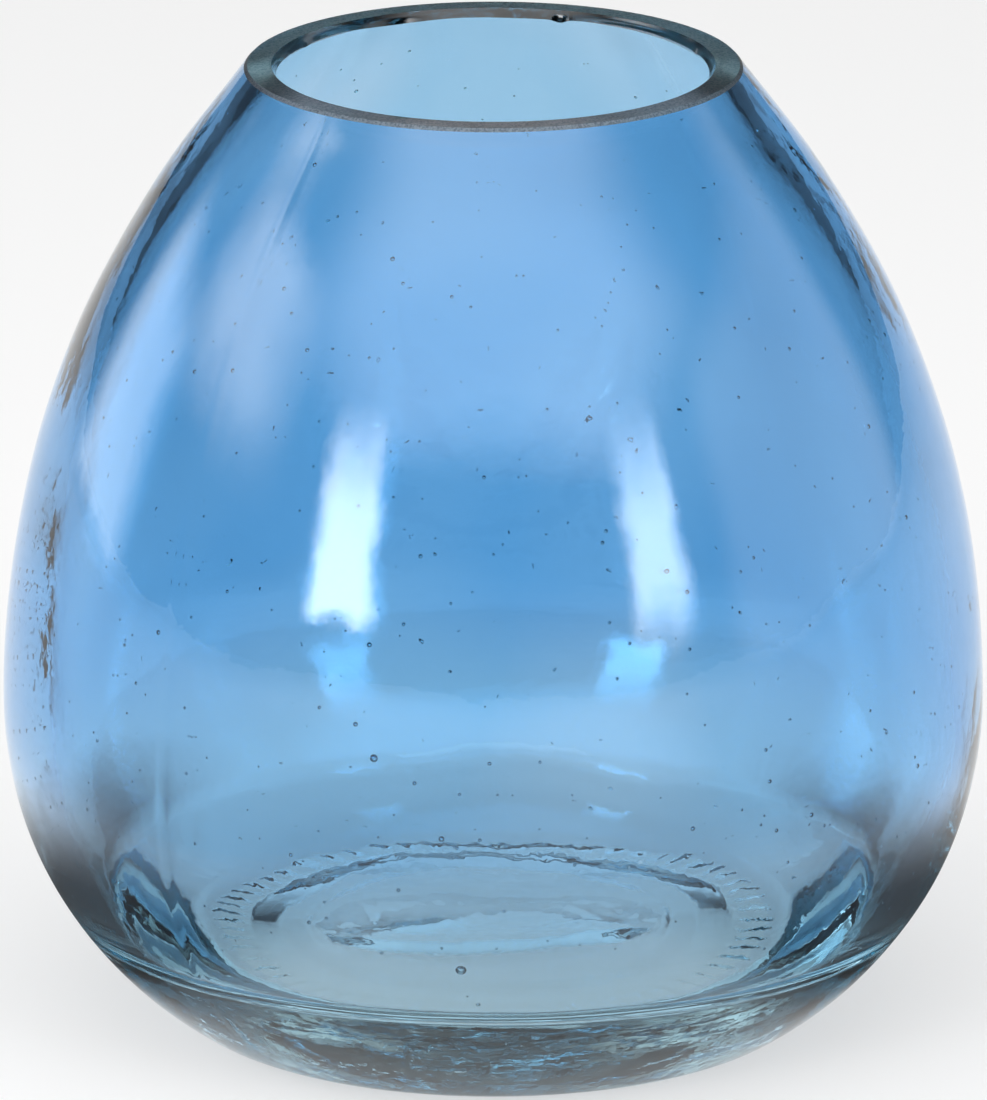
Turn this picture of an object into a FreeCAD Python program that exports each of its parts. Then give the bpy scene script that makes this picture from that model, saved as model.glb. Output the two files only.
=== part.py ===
"""A round glass flower vase, blown in a two-part mould from recycled glass and ground flat at the rim.

The real object is one piece of glass, so the model is one closed solid in one node. Its wall is even from the
rim down to a tight inner corner, where it meets a heavy and nearly flat floor. It stands on a flat bearing
ring that is stippled with short radial grooves, around a bottom that is pushed up in the middle.

Millimetres, +Z up. The origin is the centre of the bearing ring, on the surface that the vase stands on.
"""

import FreeCAD
import Part

import math
import os

# Outside of the glass
TOTAL_HEIGHT = 149.0
BELLY_RADIUS = 75.0
BELLY_HEIGHT = 49.9      # where the vase is widest
RIM_RADIUS = 37.3        # where the shoulder meets the plane of the rim, before its edge is broken
RIM_STRAIGHT = 12.6      # length of the straight part of the shoulder, just below the rim
HEEL_RADIUS = 9.0        # the small arc that ends on the bearing ring
FOOT_RADIUS = 44.0       # outer radius of the bearing ring

# Thickness of the glass
WALL = 4.5               # square to the surface, from the rim to the inner corner
BASE_THICKNESS = 14.0    # from the bearing plane to the lowest point of the floor
FLOOR_RADIUS = 400.0     # the floor is a shallow dish of this radius
CORNER_RADIUS = 6.0      # between the inner wall and the floor

# Ground rim
RIM_ARRIS = 0.5          # width of the bevel on the outer edge
MOUTH_BEVEL_WIDTH = 1.9  # how far the inner bevel cuts back the plane of the rim
MOUTH_BEVEL_ANGLE = 32.0  # of the inner bevel, from the vertical

# Underside
RING_WIDTH = 5.6         # of the flat bearing ring
STEP_WIDTH = 2.4         # the slope inside the bearing ring
STEP_HEIGHT = 1.2
PUSH_UP_HEIGHT = 1.3     # of the pushed-up bottom, where it meets the central recess
RECESS_RADIUS = 24.0     # the round recess in the middle of the bottom
RECESS_SLOPE_WIDTH = 3.4
RECESS_DEPTH = 1.2

# Grooves across the bearing ring
GROOVE_COUNT = 60
GROOVE_DEPTH = 0.35
GROOVE_RADIUS = 0.8      # of the round cutter that makes each groove
GROOVE_MARGIN = 0.8      # plain ring left at both ends of a groove

AXIS_UP = FreeCAD.Vector(0, 0, 1)
ORIGIN = FreeCAD.Vector(0, 0, 0)


def point(radius, height):
    return FreeCAD.Vector(radius, 0, height)


def on_circle(centre, radius, angle):
    """The point of a circle in the XZ plane at an angle above the horizontal, in radians."""
    return point(centre.x + radius * math.cos(angle), centre.z + radius * math.sin(angle))


def arc(centre, radius, start, end):
    """An arc edge in the XZ plane from one angle to another."""
    middle = on_circle(centre, radius, (start + end) / 2)
    return Part.Arc(on_circle(centre, radius, start), middle, on_circle(centre, radius, end)).toShape()


def line(start, end):
    return Part.LineSegment(start, end).toShape()


# The shoulder is one arc, upright at the belly, and a straight part tangent to it that ends at the rim. The
# two tangents of the arc meet SHOULDER_TANGENT above the belly.
SHOULDER_RUN = BELLY_RADIUS - RIM_RADIUS
SHOULDER_RISE = TOTAL_HEIGHT - BELLY_HEIGHT
SHOULDER_CHORD = math.hypot(SHOULDER_RUN, SHOULDER_RISE)
SHOULDER_TANGENT = (SHOULDER_CHORD**2 - RIM_STRAIGHT**2) / (2 * (SHOULDER_RISE + RIM_STRAIGHT))
SHOULDER_ANGLE = math.atan2(SHOULDER_RUN, SHOULDER_RISE - SHOULDER_TANGENT)
SHOULDER_RADIUS = SHOULDER_TANGENT / math.tan(SHOULDER_ANGLE / 2)
SHOULDER_CENTRE = point(BELLY_RADIUS - SHOULDER_RADIUS, BELLY_HEIGHT)

# Below the belly, one arc runs down to the heel and is tangent to it.
LOWER_RUN = BELLY_RADIUS - FOOT_RADIUS
LOWER_DROP = BELLY_HEIGHT - HEEL_RADIUS
LOWER_RADIUS = (LOWER_RUN**2 + LOWER_DROP**2 - HEEL_RADIUS**2) / (2 * (LOWER_RUN - HEEL_RADIUS))
LOWER_CENTRE = point(BELLY_RADIUS - LOWER_RADIUS, BELLY_HEIGHT)
HEEL_ANGLE = math.atan2(-LOWER_DROP, FOOT_RADIUS - LOWER_CENTRE.x)


def shoulder_at(height, inset):
    """The point of the straight shoulder at a height, inset square to the surface."""
    start = on_circle(SHOULDER_CENTRE, SHOULDER_RADIUS - inset, SHOULDER_ANGLE)
    return point(start.x - (height - start.z) * math.tan(SHOULDER_ANGLE), height)


def outside_edges():
    """From the outer edge of the bearing ring up to the plane of the rim."""
    heel_centre = point(FOOT_RADIUS, HEEL_RADIUS)
    shoulder_start = on_circle(SHOULDER_CENTRE, SHOULDER_RADIUS, SHOULDER_ANGLE)
    arris_start = shoulder_at(TOTAL_HEIGHT - RIM_ARRIS, 0)
    rim_outer = point(arris_start.x - RIM_ARRIS, TOTAL_HEIGHT)
    return [
        arc(heel_centre, HEEL_RADIUS, -math.pi / 2, HEEL_ANGLE),
        arc(LOWER_CENTRE, LOWER_RADIUS, HEEL_ANGLE, 0),
        arc(SHOULDER_CENTRE, SHOULDER_RADIUS, 0, SHOULDER_ANGLE),
        line(shoulder_start, arris_start),
        line(arris_start, rim_outer),
    ], rim_outer


def rim_edges(rim_outer):
    """The ground top of the rim and the bevel that leads into the mouth."""
    inner_wall = shoulder_at(TOTAL_HEIGHT, WALL)
    rim_inner = point(inner_wall.x + MOUTH_BEVEL_WIDTH, TOTAL_HEIGHT)
    spread = math.tan(SHOULDER_ANGLE) + math.tan(math.radians(MOUTH_BEVEL_ANGLE))
    mouth = shoulder_at(TOTAL_HEIGHT - MOUTH_BEVEL_WIDTH / spread, WALL)
    return [line(rim_outer, rim_inner), line(rim_inner, mouth)], mouth


def inside_edges(mouth):
    """From the mouth down the inner wall, round the tight corner, to the middle of the floor."""
    wall_radius = LOWER_RADIUS - WALL
    floor_centre = point(0, BASE_THICKNESS + FLOOR_RADIUS)
    # The corner touches the wall and the floor from inside both of their circles, so its centre is this far
    # from the centres of the two.
    wall_reach = wall_radius - CORNER_RADIUS
    floor_reach = FLOOR_RADIUS - CORNER_RADIUS
    to_floor = floor_centre - LOWER_CENTRE
    apart = to_floor.Length
    between = math.acos((wall_reach**2 + apart**2 - floor_reach**2) / (2 * wall_reach * apart))
    wall_angle = math.atan2(to_floor.z, to_floor.x) - between
    corner_centre = on_circle(LOWER_CENTRE, wall_reach, wall_angle)
    floor_angle = math.atan2(corner_centre.z - floor_centre.z, corner_centre.x)
    shoulder_start = on_circle(SHOULDER_CENTRE, SHOULDER_RADIUS - WALL, SHOULDER_ANGLE)
    return [
        line(mouth, shoulder_start),
        arc(SHOULDER_CENTRE, SHOULDER_RADIUS - WALL, SHOULDER_ANGLE, 0),
        arc(LOWER_CENTRE, wall_radius, 0, wall_angle),
        arc(corner_centre, CORNER_RADIUS, wall_angle, floor_angle),
        arc(floor_centre, FLOOR_RADIUS, floor_angle, -math.pi / 2),
    ]


def underside_edges():
    """From the axis out to the bearing ring: the recess, the push-up, the step and the flat ring."""
    ring_inner = FOOT_RADIUS - RING_WIDTH
    recess_top = PUSH_UP_HEIGHT + RECESS_DEPTH
    corners = [
        point(0, recess_top),
        point(RECESS_RADIUS, recess_top),
        point(RECESS_RADIUS + RECESS_SLOPE_WIDTH, PUSH_UP_HEIGHT),
        point(ring_inner - STEP_WIDTH, STEP_HEIGHT),
        point(ring_inner, 0),
        point(FOOT_RADIUS, 0),
    ]
    return [line(start, end) for start, end in zip(corners, corners[1:])]


def glass_blank():
    """The vase as a solid of revolution, before the bearing ring is stippled."""
    outside, rim_outer = outside_edges()
    rim, mouth = rim_edges(rim_outer)
    edges = underside_edges() + outside + rim + inside_edges(mouth)
    edges.append(line(point(0, BASE_THICKNESS), point(0, PUSH_UP_HEIGHT + RECESS_DEPTH)))
    profile = Part.Face(Part.Wire(edges))
    return profile.revolve(ORIGIN, AXIS_UP, 360)


def grooves():
    """The round cutters that press the radial grooves into the bearing ring."""
    length = RING_WIDTH - 2 * GROOVE_MARGIN
    start = point(FOOT_RADIUS - GROOVE_MARGIN - length, GROOVE_DEPTH - GROOVE_RADIUS)
    cutter = Part.makeCylinder(GROOVE_RADIUS, length, start, FreeCAD.Vector(1, 0, 0))
    step = 360 / GROOVE_COUNT
    cutters = []
    for index in range(GROOVE_COUNT):
        turned = cutter.copy()
        turned.rotate(ORIGIN, AXIS_UP, step * (index + 0.5))
        cutters.append(turned)
    return Part.makeCompound(cutters)


def glass_vase():
    return glass_blank().cut(grooves())


def main():
    os.makedirs("parts", exist_ok=True)
    vase = glass_vase()
    vase.exportStep("parts/glass_vase.step")
    box = vase.BoundBox
    print(f"glass_vase: {len(vase.Solids)} solid, valid {vase.isValid()}, volume {vase.Volume / 1000:.1f} cm3")
    print(f"size {box.XLength:.2f} x {box.YLength:.2f} x {box.ZLength:.2f} mm, from z {box.ZMin:.3f}")
    print(f"shoulder radius {SHOULDER_RADIUS:.2f}, at the rim {math.degrees(SHOULDER_ANGLE):.2f} degrees")
    print(f"lower radius {LOWER_RADIUS:.2f}, meets the heel at {math.degrees(HEEL_ANGLE):.2f} degrees")


main()
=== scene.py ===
import math

import bpy
import numpy as np
from mathutils import Matrix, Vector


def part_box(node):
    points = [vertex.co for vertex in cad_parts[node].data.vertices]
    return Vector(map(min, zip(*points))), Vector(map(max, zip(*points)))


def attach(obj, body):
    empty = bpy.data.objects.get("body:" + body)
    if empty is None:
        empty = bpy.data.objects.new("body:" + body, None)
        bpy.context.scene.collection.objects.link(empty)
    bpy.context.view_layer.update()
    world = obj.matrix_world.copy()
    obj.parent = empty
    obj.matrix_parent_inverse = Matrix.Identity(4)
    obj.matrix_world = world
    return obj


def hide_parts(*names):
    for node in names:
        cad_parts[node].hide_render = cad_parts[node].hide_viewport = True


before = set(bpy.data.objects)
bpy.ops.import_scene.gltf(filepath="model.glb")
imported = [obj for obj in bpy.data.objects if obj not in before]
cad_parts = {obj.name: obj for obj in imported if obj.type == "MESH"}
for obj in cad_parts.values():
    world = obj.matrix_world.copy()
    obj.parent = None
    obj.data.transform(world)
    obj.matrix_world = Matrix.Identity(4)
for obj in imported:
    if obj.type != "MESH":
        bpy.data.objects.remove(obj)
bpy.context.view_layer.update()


# ---- Glass vase ----
# The vase is one piece of clear, slightly aqua glass with seeds in it, blown in a two-part iron mould. The
# rim is ground flat, and the outside is sprayed with a transparent blue lacquer, thinner towards the foot.
# Nothing is fixed to it: it stands on its bearing ring.

MM = 0.001
vase_low, vase_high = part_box("glass_vase")
BELLY_RADIUS = (vase_high.x - vase_low.x) / 2 / MM
TOTAL_HEIGHT = vase_high.z / MM
BELLY_HEIGHT = 49.9
RIM_RADIUS = 37.3
RIM_STRAIGHT = 12.6
HEEL_RADIUS = 9.0
FOOT_RADIUS = 44.0
WALL = 4.5
BASE_THICKNESS = 14.0
FLOOR_RADIUS = 400.0
CORNER_RADIUS = 6.0
RIM_ARRIS = 0.5
MOUTH_BEVEL_WIDTH = 1.9
MOUTH_BEVEL_ANGLE = math.radians(32)
RING_WIDTH = 5.6
STEP_WIDTH = 2.4
STEP_HEIGHT = 1.2
PUSH_UP_HEIGHT = 1.3
RECESS_RADIUS = 24.0
RECESS_SLOPE_WIDTH = 3.4
RECESS_DEPTH = 1.2
RECESS_BRIM = 1.8        # how far the recess is rounded out beyond its slope
RECESS_SINK = 1.6        # how far the glass sank into the mould's recess, at its front
GROOVE_COUNT = 60
GROOVE_DEPTH = 0.4
GROOVE_START, GROOVE_FULL = 1.4, 2.6     # how far out from the ring's inner edge they begin and are full
GROOVE_RUN_OUT = 1.6                     # how far past its outer edge they run
MOULD_SEAMS = (-131, 49)                 # degrees round the vase, from +X towards +Y
SEAM_HEIGHT, SEAM_WIDTH = 0.09, 0.5
CHIPS = ((-115, 0.8), (-62, 0.6), (72, 0.7), (20, 0.5), (150, 0.5))    # degrees round, and depth
CHIP_WIDTH = 1.3
LACQUER_AT_FOOT = 0.2                    # the share of the lacquer that reaches the foot
LACQUER_FADE = (10, 54)                  # heights between which it thickens to the full coat
ARRIS_STEPS, FLAT_STEPS, BEVEL_STEPS = 2, 6, 4
SIDES = 480              # steps round the vase, eight to each groove of the bearing ring


def arc(centre, radius, start, end, steps):
    """Points (radius, height) of an arc, between two angles above the horizontal, without the first."""
    angles = start + (end - start) * np.arange(1, steps + 1) / steps
    return [(centre[0] + radius * math.cos(a), centre[1] + radius * math.sin(a)) for a in angles]


def straight(start, end, steps):
    """Points of a straight line, without the first."""
    return [(start[0] + (end[0] - start[0]) * k / steps, start[1] + (end[1] - start[1]) * k / steps)
            for k in range(1, steps + 1)]


def rounded(corners, sizes, spacing=0.9, steps=4):
    """A line through corners with each one rounded off over its size, as points without the first."""
    line, last = [], corners[0]
    for before, corner, after, size in zip(corners, corners[1:], corners[2:], sizes):
        a, b, c = (np.array(p) for p in (before, corner, after))
        enter = b + (a - b) / np.linalg.norm(a - b) * size
        leave = b + (c - b) / np.linalg.norm(c - b) * size
        line += straight(last, tuple(enter), max(1, round(math.dist(last, enter) / spacing)))
        for k in range(1, steps + 1):
            t = k / steps
            line.append(tuple((1 - t)**2 * enter + 2 * t * (1 - t) * b + t**2 * leave))
        last = line[-1]
    return line + straight(last, corners[-1], max(1, round(math.dist(last, corners[-1]) / spacing)))


# The shoulder is an arc, upright at the belly, and a straight part that ends at the rim.
run, rise = BELLY_RADIUS - RIM_RADIUS, TOTAL_HEIGHT - BELLY_HEIGHT
tangent = (run**2 + rise**2 - RIM_STRAIGHT**2) / (2 * (rise + RIM_STRAIGHT))
shoulder_angle = math.atan2(run, rise - tangent)
shoulder_radius = tangent / math.tan(shoulder_angle / 2)
shoulder_centre = (BELLY_RADIUS - shoulder_radius, BELLY_HEIGHT)
# Below the belly, one arc runs down to the heel.
across, drop = BELLY_RADIUS - FOOT_RADIUS, BELLY_HEIGHT - HEEL_RADIUS
lower_radius = (across**2 + drop**2 - HEEL_RADIUS**2) / (2 * (across - HEEL_RADIUS))
lower_centre = (BELLY_RADIUS - lower_radius, BELLY_HEIGHT)
heel_angle = math.atan2(-drop, FOOT_RADIUS - lower_centre[0])


def shoulder_line(height, inset):
    """The point of the straight shoulder at a height, inset square to the surface."""
    start = arc(shoulder_centre, shoulder_radius - inset, 0, shoulder_angle, 1)[0]
    return (start[0] - (height - start[1]) * math.tan(shoulder_angle), height)


# Outline, from the middle of the underside out, up the outside, over the rim and down the inside. The recess
# is only roughed out here, and gets its sunken form further down.
ring_inner = FOOT_RADIUS - RING_WIDTH
recess_top = PUSH_UP_HEIGHT + RECESS_DEPTH
underside = rounded(
    [(0, recess_top), (RECESS_RADIUS, recess_top), (RECESS_RADIUS + RECESS_SLOPE_WIDTH, PUSH_UP_HEIGHT),
     (ring_inner - STEP_WIDTH, STEP_HEIGHT), (ring_inner, 0), (FOOT_RADIUS, 0)],
    [1.75, 1.75, 0.7, 0.7])
heel = arc((FOOT_RADIUS, HEEL_RADIUS), HEEL_RADIUS, -math.pi / 2, heel_angle, 12)
lower = arc(lower_centre, lower_radius, heel_angle, 0, 40)
shoulder = arc(shoulder_centre, shoulder_radius, 0, shoulder_angle, 56)
arris_start = shoulder_line(TOTAL_HEIGHT - RIM_ARRIS, 0)
shoulder += straight(shoulder[-1], arris_start, 8)
rim_outer = (arris_start[0] - RIM_ARRIS, TOTAL_HEIGHT)
inner_wall = shoulder_line(TOTAL_HEIGHT, WALL)
rim_inner = (inner_wall[0] + MOUTH_BEVEL_WIDTH, TOTAL_HEIGHT)
spread = math.tan(shoulder_angle) + math.tan(MOUTH_BEVEL_ANGLE)
mouth = shoulder_line(TOTAL_HEIGHT - MOUTH_BEVEL_WIDTH / spread, WALL)
rim = straight(arris_start, rim_outer, ARRIS_STEPS)
rim += straight(rim_outer, rim_inner, FLAT_STEPS)
rim += straight(rim_inner, mouth, BEVEL_STEPS)
# The inner corner touches the wall and the dished floor from inside both of their circles.
wall_radius = lower_radius - WALL
floor_centre = (0, BASE_THICKNESS + FLOOR_RADIUS)
to_floor = (floor_centre[0] - lower_centre[0], floor_centre[1] - lower_centre[1])
apart = math.hypot(*to_floor)
wall_reach, floor_reach = wall_radius - CORNER_RADIUS, FLOOR_RADIUS - CORNER_RADIUS
between = math.acos((wall_reach**2 + apart**2 - floor_reach**2) / (2 * wall_reach * apart))
wall_angle = math.atan2(to_floor[1], to_floor[0]) - between
corner_centre = arc(lower_centre, wall_reach, 0, wall_angle, 1)[0]
floor_angle = math.atan2(corner_centre[1] - floor_centre[1], corner_centre[0])
inside = straight(mouth, arc(shoulder_centre, shoulder_radius - WALL, 0, shoulder_angle, 1)[0], 7)
inside += arc(shoulder_centre, shoulder_radius - WALL, shoulder_angle, 0, 50)
inside += arc(lower_centre, wall_radius, 0, wall_angle, 30)
inside += arc(corner_centre, CORNER_RADIUS, wall_angle, floor_angle, 14)
inside += arc(floor_centre, FLOOR_RADIUS, floor_angle, -math.pi / 2, 40)

UNDERSIDE, HEEL, LOWER, SHOULDER, RIM, INSIDE = range(6)
parts = [underside, heel, lower, shoulder, rim, inside]
profile = np.array([(0, recess_top)] + [p for part in parts for p in part])
part_of = np.array([UNDERSIDE] + [i for i, part in enumerate(parts) for _ in part])
along = np.gradient(profile, axis=0)
along /= np.linalg.norm(along, axis=1)[:, None]
outward = np.stack([along[:, 1], -along[:, 0]], 1)   # square to the outline, out of the glass
rings = slice(1, len(profile) - 1)                   # every row but the two poles
turns = np.arange(SIDES) * 2 * math.pi / SIDES
turn, plain_radius = np.meshgrid(turns, profile[rings, 0])
plain_height = np.repeat(profile[rings, 1:], SIDES, 1)
row_part = part_of[rings][:, None]


def fade(value, low, high):
    """0 below low, 1 above high, smooth between."""
    t = np.clip((value - low) / (high - low), 0, 1)
    return t * t * (3 - 2 * t)


def ripple(seed, count, shortest):
    """A smooth random function of a place in mm, about 1 high, with no waves shorter than this."""
    draw = np.random.RandomState(seed)
    waves = []
    for _ in range(count):
        aim = draw.normal(size=3)
        waves.append((aim / np.linalg.norm(aim) * 2 * math.pi / shortest * draw.uniform(0.25, 1),
                      draw.uniform(0, 2 * math.pi)))

    def at(x, y, z):
        return sum(np.cos(w[0] * x + w[1] * y + w[2] * z + p) for w, p in waves) * math.sqrt(2 / count)
    return at


x, y, z = plain_radius * np.cos(turn), plain_radius * np.sin(turn), plain_height
below_rim = TOTAL_HEIGHT - z
# The outside follows the iron mould, so it only sinks a little where the glass chilled.
outer_rows = (row_part == HEEL) | (row_part == LOWER) | (row_part == SHOULDER)
sink = 0.05 * np.clip(1.8 + ripple(11, 30, 20)(x, y, z), 0, None)
sink += 0.004 * (1 + ripple(12, 40, 6)(x, y, z))
sink *= fade(z, 3, 16) * fade(below_rim, 0.6, 6)
# The inside never touched the mould, and flowed as it liked, least at the mouth and over the floor.
inner_rows = row_part == INSIDE
swell = 0.33 * ripple(23, 24, 60)(x, y, z)
swell += 0.06 * ripple(29, 36, 24)(x, y, z)
swell += 0.004 * ripple(31, 40, 8)(x, y, z)
swell *= fade(below_rim, 2, 14) * (0.35 + 0.65 * fade(z, 18, 40)) * (1 - 0.55 * fade(z, 75, 115))
push = np.where(outer_rows, -sink, 0) + np.where(inner_rows, swell, 0)
# Two seams where the halves of the mould met, as fine low ridges.
for seam in MOULD_SEAMS:
    away = (turn - math.radians(seam) + math.pi) % (2 * math.pi) - math.pi
    ridge = np.exp(-(away * plain_radius / SEAM_WIDTH)**2)
    push += np.where(outer_rows, SEAM_HEIGHT * ridge * fade(z, 4, 12) * fade(below_rim, 0.4, 3), 0)
radius = plain_radius + push * outward[rings, :1]
height = plain_height + push * outward[rings, 1:]

# The bearing ring is stippled with rounded radial grooves, uneven in depth, and deepest at the sides.
ring_rows = (row_part <= HEEL) & (plain_radius > ring_inner)
across_ring = fade(plain_radius, ring_inner + GROOVE_START, ring_inner + GROOVE_FULL)
across_ring *= fade(FOOT_RADIUS + GROOVE_RUN_OUT - plain_radius, 0, GROOVE_RUN_OUT)
groove = (0.5 - 0.5 * np.cos(GROOVE_COUNT * turn))**2 * (0.75 + 0.25 * ripple(37, 20, 12)(x, y, z))
at_sides = 1 - 0.65 * fade(np.abs(np.sin(turn)), 0.3, 0.9)
height += np.where(ring_rows, GROOVE_DEPTH * across_ring * groove * at_sides, 0)

# Inside the ring, the pressed step is wider at the sides than in front, widest at the left, and wanders.
pressed = (row_part == UNDERSIDE) & (plain_radius < ring_inner + 0.2)
step_foot = ring_inner - STEP_WIDTH
widening = 0.3 + 2.2 * np.cos(turn)**2
widening += 1.6 * np.exp(-((turn - 2.6) / 0.35)**2)
widening += 0.5 * ripple(41, 12, 30)(x, y, z)
radius -= np.where(pressed, widening * fade(plain_radius, 25, step_foot)
                   * (1 - fade(plain_radius, step_foot, ring_inner)), 0)
# The glass sank unevenly into the mould's recess: steep in front, and running out gently towards the back.
recess_edge = RECESS_RADIUS + RECESS_SLOPE_WIDTH + RECESS_BRIM
recess_wander = ripple(67, 14, 14)


def recess_height(x, y):
    """Height of the underside within the recess."""
    from_front = y + np.sqrt(np.clip(recess_edge**2 - x**2, 0, None))
    wander = recess_wander(x, 0 * x, 0 * x)
    back_fall = 1 - 0.45 * fade(y + 0.9 * wander, -14, -4) - 0.55 * fade(y, -12, 10)
    sunken = PUSH_UP_HEIGHT + 0.05 * recess_wander(x, y, 0 * x)
    return sunken + RECESS_SINK * fade(from_front, 0, 11) * back_fall


recessed = pressed & (plain_radius < recess_edge)
height = np.where(recessed, recess_height(x, y), height)

# The hand-ground bevel in the mouth ends in a wavy edge with a few chips.
mouth_row = sum(len(part) for part in parts[:INSIDE]) - 1
wave = 0.22 * ripple(53, 24, 14)(x, y, z)[mouth_row]
for chip, size in CHIPS:
    away = (turns - math.radians(chip) + math.pi) % (2 * math.pi) - math.pi
    wave += size * np.exp(-(away * RIM_RADIUS / CHIP_WIDTH)**2)
for row, share in ((mouth_row, 1.0), (mouth_row - 1, 0.55), (mouth_row + 1, 0.5)):
    radius[row] += wave * share * math.sin(shoulder_angle)
    height[row] -= wave * share * math.cos(shoulder_angle)

rows = len(profile) - 2
points = np.stack([radius * np.cos(turn), radius * np.sin(turn), height], -1).reshape(-1, 3)
poles = np.array([[0, 0, float(recess_height(np.zeros(1), np.zeros(1))[0])], [0, 0, profile[-1, 1]]])
bottom_pole, top_pole = rows * SIDES, rows * SIDES + 1
corner = np.arange((rows - 1) * SIDES)
beside = corner // SIDES * SIDES + (corner + 1) % SIDES
faces = np.stack([corner, beside, beside + SIDES, corner + SIDES], 1).tolist()
for side in range(SIDES):
    after = (side + 1) % SIDES
    faces.append((bottom_pole, after, side))
    faces.append((top_pole, (rows - 1) * SIDES + side, (rows - 1) * SIDES + after))

# The lacquer is full over the shoulder and belly, and the spray misses more and more of it towards the foot.
face_part = np.repeat(part_of[rings][1:], SIDES)
face_place = points[:(rows - 1) * SIDES]
coverage = LACQUER_AT_FOOT + (1 - LACQUER_AT_FOOT) * fade(face_place[:, 2], *LACQUER_FADE)
coverage *= 1 + 0.05 * ripple(59, 30, 34)(*face_place.T)
lacquer = np.zeros(len(faces), np.float32)
lacquer[:len(face_part)] = np.where((face_part >= HEEL) & (face_part <= SHOULDER), coverage, 0)
ground = np.zeros(len(faces), np.float32)
ground[:len(face_part)] = face_part == RIM
bevel = np.zeros(len(faces), np.float32)
bevel_faces = slice((mouth_row - BEVEL_STEPS) * SIDES, mouth_row * SIDES)
ground[bevel_faces] = 0
bevel[bevel_faces] = 1

# Seeds: small bubbles in the wall, as closed hollows that face inwards.
SEEDS = 800
SEED_LEVELS = (3, 144)   # lowest and highest, clear of the foot and the rim
SEED_DEPTHS = (1.0, 3.2)
SMALLEST_SEED, SEED_SPREAD = 0.14, 0.08      # radii; few are much larger than the smallest
# Height, degrees round, and radius of the four largest, in the front.
LARGE_SEEDS = ((62, -104, 0.62), (50, -96, 0.45), (27, -94, 0.85), (88, -68, 0.4))
LARGE_SEED_DEPTH = 2.2
SEED_FLATNESS = 0.7      # the mould's pressure left them thinner through the wall than along it
BALL_RINGS, BALL_SIDES = 5, 10
draw = np.random.RandomState(61)
in_reach = (profile[:, 1] > SEED_LEVELS[0]) & (profile[:, 1] < SEED_LEVELS[1])
wall_rows = np.flatnonzero((part_of >= HEEL) & (part_of <= SHOULDER) & in_reach)
weights = profile[wall_rows, 0] * np.linalg.norm(np.gradient(profile[wall_rows], axis=0), axis=1)
seed_rows = draw.choice(wall_rows, SEEDS, p=weights / weights.sum())
seed_turns = draw.uniform(0, 2 * math.pi, SEEDS)
seed_sizes = SMALLEST_SEED + SEED_SPREAD * draw.exponential(1, SEEDS).clip(0, 3)
seed_depths = draw.uniform(*SEED_DEPTHS, SEEDS)
places = [(profile[r] - outward[r] * d, outward[r], t, s)
          for r, t, s, d in zip(seed_rows, seed_turns, seed_sizes, seed_depths)]
for level, angle, size in LARGE_SEEDS:
    row = wall_rows[np.abs(profile[wall_rows, 1] - level).argmin()]
    places.append((profile[row] - outward[row] * LARGE_SEED_DEPTH, outward[row], math.radians(angle), size))
vertices = [points * MM, poles * MM]
count = len(points) + 2
for (seed_radius, seed_height), out, angle, size in places:
    facing = np.array([out[0] * math.cos(angle), out[0] * math.sin(angle), out[1]])
    sideways = np.array([-math.sin(angle), math.cos(angle), 0])
    upward = np.cross(facing, sideways)
    centre = np.array([seed_radius * math.cos(angle), seed_radius * math.sin(angle), seed_height])
    ball = [centre + facing * size * SEED_FLATNESS]
    for ring in range(1, BALL_RINGS + 1):
        polar = math.pi * ring / (BALL_RINGS + 1)
        for side in range(BALL_SIDES):
            a = 2 * math.pi * side / BALL_SIDES
            ball.append(centre + facing * size * SEED_FLATNESS * math.cos(polar)
                        + size * math.sin(polar) * (sideways * math.cos(a) + upward * math.sin(a)))
    ball.append(centre - facing * size * SEED_FLATNESS)
    vertices.append(np.array(ball) * MM)
    last = count + BALL_RINGS * BALL_SIDES + 1
    for side in range(BALL_SIDES):
        after = (side + 1) % BALL_SIDES
        faces.append((count, count + 1 + after, count + 1 + side))
        faces.append((last, last - BALL_SIDES + side, last - BALL_SIDES + after))
        for ring in range(BALL_RINGS - 1):
            first = count + 1 + ring * BALL_SIDES
            faces.append((first + side, first + after, first + BALL_SIDES + after, first + BALL_SIDES + side))
    count = last + 1

vase_mesh = bpy.data.meshes.new("glass_vase_blown")
vase_mesh.from_pydata(np.concatenate(vertices).tolist(), [], faces)
for mask_name, values in (("lacquer", lacquer), ("ground", ground), ("bevel", bevel)):
    on_all_faces = np.zeros(len(faces), np.float32)      # a seed has none of the three
    on_all_faces[:len(values)] = values
    vase_mesh.attributes.new(mask_name, "FLOAT", "FACE").data.foreach_set("value", on_all_faces)
vase_mesh.shade_smooth()
edge_points = np.empty(len(vase_mesh.edges) * 2, np.int32)
vase_mesh.edges.foreach_get("vertices", edge_points)
edge_rows = edge_points.reshape(-1, 2) // SIDES
rim_first = mouth_row - len(rim)
rim_edges = rim_first + np.cumsum([0, ARRIS_STEPS, FLAT_STEPS, BEVEL_STEPS])
sharp = (edge_rows[:, 0] == edge_rows[:, 1]) & np.isin(edge_rows[:, 0], rim_edges)
vase_mesh.attributes.new("sharp_edge", "BOOLEAN", "EDGE").data.foreach_set("value", sharp)
vase = bpy.data.objects.new("glass_vase_blown", vase_mesh)
bpy.context.scene.collection.objects.link(vase)

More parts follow.
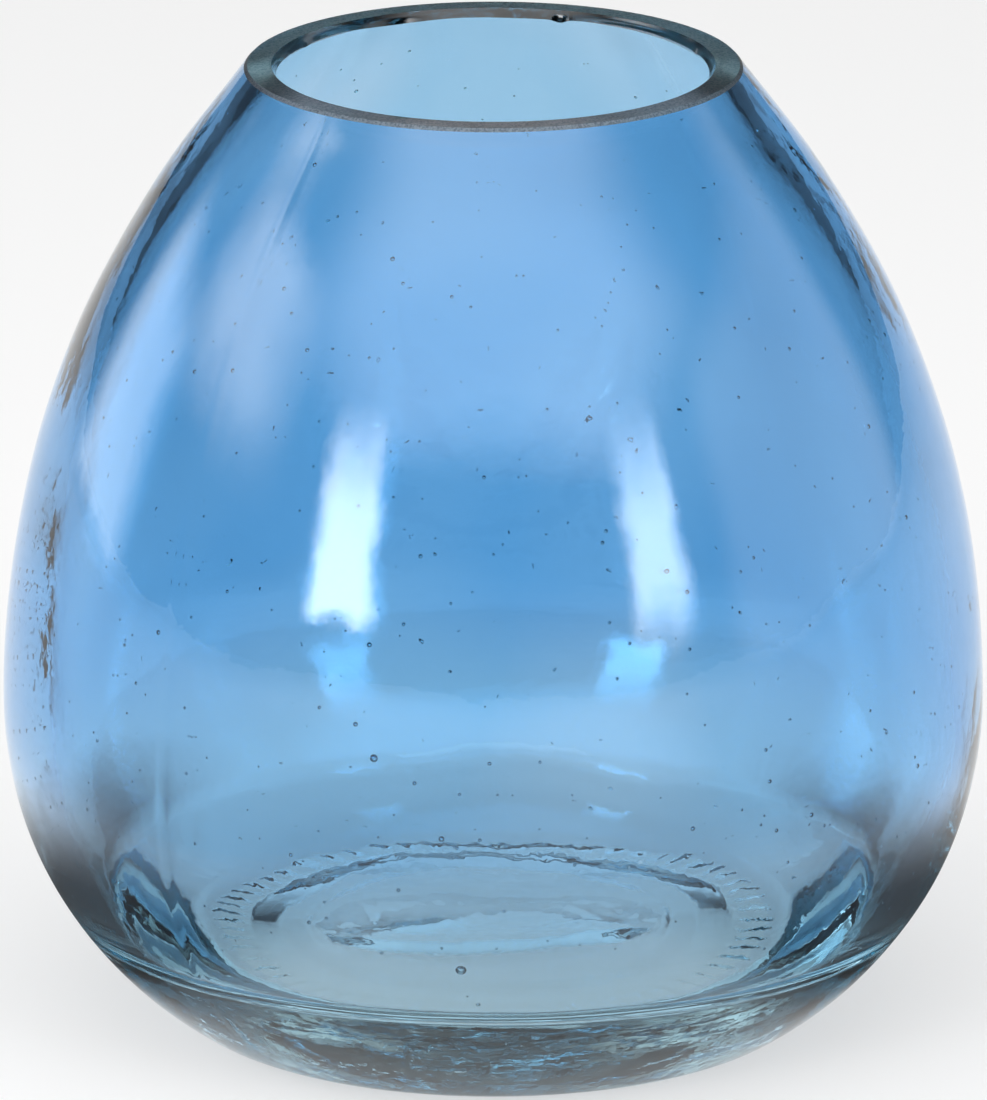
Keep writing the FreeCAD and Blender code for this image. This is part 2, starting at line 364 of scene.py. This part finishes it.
# Skin of the glass and of the lacquer: a height for the bump, the roughness, and the speckle of ground glass.
skin = bpy.data.node_groups.new("blown_glass_skin", "ShaderNodeTree")
skin.interface.new_socket("Ground", in_out="INPUT", socket_type="NodeSocketFloat")
skin.interface.new_socket("Height", in_out="OUTPUT", socket_type="NodeSocketFloat")
skin.interface.new_socket("Roughness", in_out="OUTPUT", socket_type="NodeSocketFloat")
skin.interface.new_socket("Speckle", in_out="OUTPUT", socket_type="NodeSocketFloat")
skin_in = skin.nodes.new("NodeGroupInput")
skin_out = skin.nodes.new("NodeGroupOutput")
skin_place = skin.nodes.new("ShaderNodeTexCoord")


def noise(tree, place, scale, detail, roughness=0.5):
    """A cloudy noise over a place in metres, between 0 and 1."""
    node = tree.nodes.new("ShaderNodeTexNoise")
    node.inputs["Scale"].default_value = scale
    node.inputs["Detail"].default_value = detail
    node.inputs["Roughness"].default_value = roughness
    tree.links.new(place, node.inputs["Vector"])
    return node.outputs["Fac"]


def maths(tree, operation, first, second):
    """One step of arithmetic on two values, each a number or an output."""
    node = tree.nodes.new("ShaderNodeMath")
    node.operation = operation
    for socket, value in zip(node.inputs, (first, second)):
        if isinstance(value, (int, float)):
            socket.default_value = value
        else:
            tree.links.new(value, socket)
    return node.outputs[0]


def span(tree, value, low, high, to_low, to_high):
    """Map a range to another one, smooth at both ends."""
    node = tree.nodes.new("ShaderNodeMapRange")
    node.interpolation_type = "SMOOTHSTEP"
    for socket, number in zip(("From Min", "From Max", "To Min", "To Max"), (low, high, to_low, to_high)):
        node.inputs[socket].default_value = number
    tree.links.new(value, node.inputs["Value"])
    return node.outputs["Result"]


spot = skin_place.outputs["Object"]
peel = noise(skin, spot, 160, 2)
fine = maths(skin, "MULTIPLY", noise(skin, spot, 900, 1), 0.10)
grain = maths(skin, "MULTIPLY", noise(skin, spot, 3500, 2), skin_in.outputs["Ground"])
skin.links.new(maths(skin, "ADD", maths(skin, "ADD", peel, fine), grain), skin_out.inputs["Height"])
rubbed = span(skin, noise(skin, spot, 60, 4, 0.7), 0.55, 0.75, 0.0, 0.03)
skin.links.new(span(skin, noise(skin, spot, 2600, 3, 0.7), 0.38, 0.62, 0, 1), skin_out.inputs["Speckle"])
matt = maths(skin, "MULTIPLY", skin_in.outputs["Ground"], 0.38)
skin.links.new(maths(skin, "ADD", rubbed, matt), skin_out.inputs["Roughness"])

CLEAR_GLASS = (0.82, 0.95, 0.985)
BLUE_LACQUER = (0.125, 0.385, 0.765)
RIM_SHADE_DARK, RIM_SHADE_PALE = (0.09, 0.044, 0.038), (0.42, 0.23, 0.19)      # the ground rim: painted shade, dark, with the real speckle of its grinding
# Painted shade: the cut bevel in the mouth is coloured near black for the dark line seen along it.
BEVEL_SHADE_BLACK = (0.02, 0.022, 0.028)
GLASS_BODY = (0.30, 0.80, 0.90)
GLASS_IOR = 1.52
SKIN_DEPTH = 0.00003                 # metres, for a height of 1 in the skin
glass = bpy.data.materials.new("blue_lacquered_glass")
glass.use_nodes = True
nodes, links = glass.node_tree.nodes, glass.node_tree.links


def face_mask(name):
    """A mask that is kept on the faces of the mesh."""
    node = nodes.new("ShaderNodeAttribute")
    node.attribute_name = name
    return node.outputs["Fac"]


def blend(factor, first, second):
    """A colour between two, each a fixed colour or an output."""
    node = nodes.new("ShaderNodeMix")
    node.data_type = "RGBA"
    links.new(factor, node.inputs["Factor"])
    for socket, colour in (("A", first), ("B", second)):
        if isinstance(colour, tuple):
            node.inputs[socket].default_value = (*colour, 1)
        else:
            links.new(colour, node.inputs[socket])
    return node.outputs["Result"]


surface = nodes["Principled BSDF"]
surface.inputs["Transmission Weight"].default_value = 1.0
surface.inputs["IOR"].default_value = GLASS_IOR
ground_mask = face_mask("ground")
glass_skin = nodes.new("ShaderNodeGroup")
glass_skin.node_tree = skin
links.new(ground_mask, glass_skin.inputs["Ground"])
sprayed = blend(face_mask("lacquer"), CLEAR_GLASS, BLUE_LACQUER)
# Painted shade: the ground rim is coloured dark. Only its speckle, the grain of the grinding, is its own.
frosted_and_shaded = blend(ground_mask, sprayed, blend(glass_skin.outputs["Speckle"], RIM_SHADE_DARK, RIM_SHADE_PALE))
# Painted shade: the bevel faces get the near-black colour.
links.new(blend(face_mask("bevel"), frosted_and_shaded, BEVEL_SHADE_BLACK), surface.inputs["Base Color"])
links.new(glass_skin.outputs["Roughness"], surface.inputs["Roughness"])
bump = nodes.new("ShaderNodeBump")
bump.inputs["Strength"].default_value = 1.0
bump.inputs["Distance"].default_value = SKIN_DEPTH
links.new(glass_skin.outputs["Height"], bump.inputs["Height"])
links.new(bump.outputs["Normal"], surface.inputs["Normal"])
body = nodes.new("ShaderNodeVolumeAbsorption")
body.inputs["Color"].default_value = (*GLASS_BODY, 1)
body.inputs["Density"].default_value = 5.0
links.new(body.outputs["Volume"], nodes["Material Output"].inputs["Volume"])
vase_mesh.materials.append(glass)

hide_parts("glass_vase")
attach(vase, "root")


# ---- Studio ----
# A pale floor that runs out of sight, two large soft lights overhead, a soft box and fills at the sides, and
# two upright diffused strips in front. None of it is part of the vase.


def flat_square(name, half):
    """A square that lies flat, as an object."""
    mesh = bpy.data.meshes.new(name)
    corners = [(-half, -half, 0), (half, -half, 0), (half, half, 0), (-half, half, 0)]
    mesh.from_pydata(corners, [], [(0, 1, 2, 3)])
    square = bpy.data.objects.new(name, mesh)
    bpy.context.scene.collection.objects.link(square)
    return square


def soft_card(name, width, low, high, strength, side_fade, low_fade, high_fade,
              patchy=0.0, azimuth=0, distance=0, lift=0, tilt=0):
    """A glowing card at an azimuth, 0 in front and growing to the right, that fades out towards its edges."""
    mesh = bpy.data.meshes.new(name)
    mesh.from_pydata([(-width / 2, 0, low), (width / 2, 0, low), (width / 2, 0, high), (-width / 2, 0, high)],
                     [], [(0, 1, 2, 3)])
    card = bpy.data.objects.new(name, mesh)
    bpy.context.scene.collection.objects.link(card)
    card.matrix_world = (Matrix.Rotation(math.radians(azimuth), 4, "Z")
                         @ Matrix.Translation((0, -distance, lift))
                         @ Matrix.Rotation(math.radians(tilt), 4, "X"))
    paint = bpy.data.materials.new(name)
    paint.use_nodes = True
    tree = paint.node_tree
    tree.nodes.remove(tree.nodes["Principled BSDF"])
    light = tree.nodes.new("ShaderNodeEmission")
    where = tree.nodes.new("ShaderNodeTexCoord")
    parts_of = tree.nodes.new("ShaderNodeSeparateXYZ")
    tree.links.new(where.outputs["Object"], parts_of.inputs[0])
    cloud = maths(tree, "SUBTRACT", noise(tree, where.outputs["Object"], 5, 3), 0.5)
    cloud = maths(tree, "MULTIPLY", cloud, patchy)
    aside = maths(tree, "ABSOLUTE", maths(tree, "ADD", parts_of.outputs["X"], cloud), 0)
    level = maths(tree, "ADD", parts_of.outputs["Z"], cloud)
    glow = span(tree, aside, width / 2 - side_fade, width / 2, strength, 0)
    glow = maths(tree, "MULTIPLY", glow, span(tree, level, low, low + low_fade, 0, 1))
    glow = maths(tree, "MULTIPLY", glow, span(tree, level, high - high_fade, high, 1, 0))
    tree.links.new(glow, light.inputs["Strength"])
    clear = tree.nodes.new("ShaderNodeBsdfTransparent")
    both = tree.nodes.new("ShaderNodeAddShader")
    tree.links.new(light.outputs[0], both.inputs[0])
    tree.links.new(clear.outputs[0], both.inputs[1])
    tree.links.new(both.outputs[0], tree.nodes["Material Output"].inputs["Surface"])
    mesh.materials.append(paint)
    card.visible_camera = False
    card.visible_shadow = False


floor = flat_square("studio_floor", 12)
floor_paint = bpy.data.materials.new("studio_floor")
floor_paint.use_nodes = True
table = floor_paint.node_tree.nodes["Principled BSDF"]
table.inputs["Base Color"].default_value = (0.35, 0.35, 0.35, 1)
table.inputs["Roughness"].default_value = 0.9
table.inputs["Emission Color"].default_value = (1, 1, 1, 1)
table.inputs["Emission Strength"].default_value = 0.56
floor.data.materials.append(floor_paint)

soft_card("left_strip", azimuth=-37, distance=1.6, width=0.60, low=0.22, high=1.12, strength=13.0,
          side_fade=0.16, low_fade=0.10, high_fade=0.60, patchy=0.16)
soft_card("right_strip", azimuth=40, distance=1.6, width=0.56, low=0.12, high=1.12, strength=9.0,
          side_fade=0.18, low_fade=0.26, high_fade=0.60, patchy=0.18)
soft_card("left_softbox", azimuth=-84, distance=1.7, width=1.9, low=0.50, high=1.70, strength=4.6,
          side_fade=0.80, low_fade=0.45, high_fade=0.40, patchy=0.10)
soft_card("left_low_fill", azimuth=-115, distance=1.8, width=1.2, low=0.0, high=0.85, strength=2.6,
          side_fade=0.35, low_fade=0.1, high_fade=0.3, patchy=0.10)
soft_card("right_fill", azimuth=90, distance=2.0, width=2.8, low=0.0, high=1.6, strength=1.2,
          side_fade=0.5, low_fade=0.1, high_fade=0.5)
# Laid flat, a card's low edge lies towards the front and its high edge towards the back.
soft_card("front_overhead_light", lift=1.6, tilt=-90, width=5.0, low=-3.2, high=-0.2, strength=2.6,
          side_fade=1.4, low_fade=1.1, high_fade=1.0)
soft_card("overhead_light", lift=1.62, tilt=-90, width=3.0, low=-1.4, high=1.2, strength=1.4,
          side_fade=0.9, low_fade=0.8, high_fade=0.5)
# These three don't shine through the glass. They show only in its gloss, and light the table.
for name in ("left_softbox", "right_fill", "overhead_light"):
    bpy.data.objects[name].visible_transmission = False

# The glass shades the table to both sides of its foot. The shade is a soft dark patch, seen only in the
# gloss of the glass and through it.
SHADE_DEPTH = 0.95
SHADE_START, SHADE_END = (0.048, 0.062), (0.085, 0.14)     # distances from the middle
SHADE_ASIDE = (0.040, 0.066)                               # distances to either side
table_shade = flat_square("table_shade", 0.2)
table_shade.location.z = 0.0006
shade_paint = bpy.data.materials.new("table_shade")
shade_paint.use_nodes = True
tree = shade_paint.node_tree
# Painted shadow: a near-black sheet on the table, clear where no shade falls.
shade_sheet = tree.nodes["Principled BSDF"]
shade_sheet.inputs["Base Color"].default_value = (0.01, 0.01, 0.012, 1)
shade_sheet.inputs["Roughness"].default_value = 0.9
where = tree.nodes.new("ShaderNodeTexCoord")
from_middle = tree.nodes.new("ShaderNodeVectorMath")
from_middle.operation = "LENGTH"
tree.links.new(where.outputs["Object"], from_middle.inputs[0])
shade_parts = tree.nodes.new("ShaderNodeSeparateXYZ")
tree.links.new(where.outputs["Object"], shade_parts.inputs[0])
aside = maths(tree, "ABSOLUTE", shade_parts.outputs["X"], 0)
solid = maths(tree, "MULTIPLY", span(tree, from_middle.outputs["Value"], *SHADE_START, 0, SHADE_DEPTH),
              span(tree, from_middle.outputs["Value"], *SHADE_END, 1, 0))
tree.links.new(maths(tree, "MULTIPLY", solid, span(tree, aside, *SHADE_ASIDE, 0, 1)), shade_sheet.inputs["Alpha"])
table_shade.data.materials.append(shade_paint)
table_shade.visible_camera = False
table_shade.visible_diffuse = False
table_shade.visible_shadow = False

# The room is brightest low behind the vase, and dimmer in front and overhead.
world = bpy.data.worlds.new("studio_room")
bpy.context.scene.world = world
world.use_nodes = True
air = world.node_tree
aim = air.nodes.new("ShaderNodeTexCoord")
aim_parts = air.nodes.new("ShaderNodeSeparateXYZ")
air.links.new(aim.outputs["Generated"], aim_parts.inputs[0])
behind = span(air, aim_parts.outputs["Y"], -0.45, 0.45, 0.42, 1.35)
above = span(air, aim_parts.outputs["Z"], 0.12, 0.40, 1.0, 0.30)
air.links.new(maths(air, "MULTIPLY", behind, above), air.nodes["Background"].inputs["Strength"])

CAMERA_DISTANCE = 2.0
CAMERA_HEIGHT = 0.680
CAMERA_PITCH = 16.9      # degrees down from level
CAMERA_LENS = 448.7      # mm, on a sensor 36 mm wide
camera_data = bpy.data.cameras.new("camera")
camera = bpy.data.objects.new("camera", camera_data)
bpy.context.scene.collection.objects.link(camera)
camera.location = (0, -CAMERA_DISTANCE, CAMERA_HEIGHT)
camera.rotation_euler = (math.radians(90 - CAMERA_PITCH), 0, 0)
camera_data.sensor_width = 36
camera_data.lens = CAMERA_LENS
camera_data.clip_start = 0.05
camera_data.clip_end = 60
bpy.context.scene.camera = camera
bpy.context.scene.view_settings.view_transform = "Standard"
# Light runs along inside the thick glass and turns back many times before it leaves.
LIGHT_TURNS = 32
bpy.context.scene.cycles.max_bounces = LIGHT_TURNS
bpy.context.scene.cycles.glossy_bounces = LIGHT_TURNS
bpy.context.scene.cycles.transmission_bounces = LIGHT_TURNS
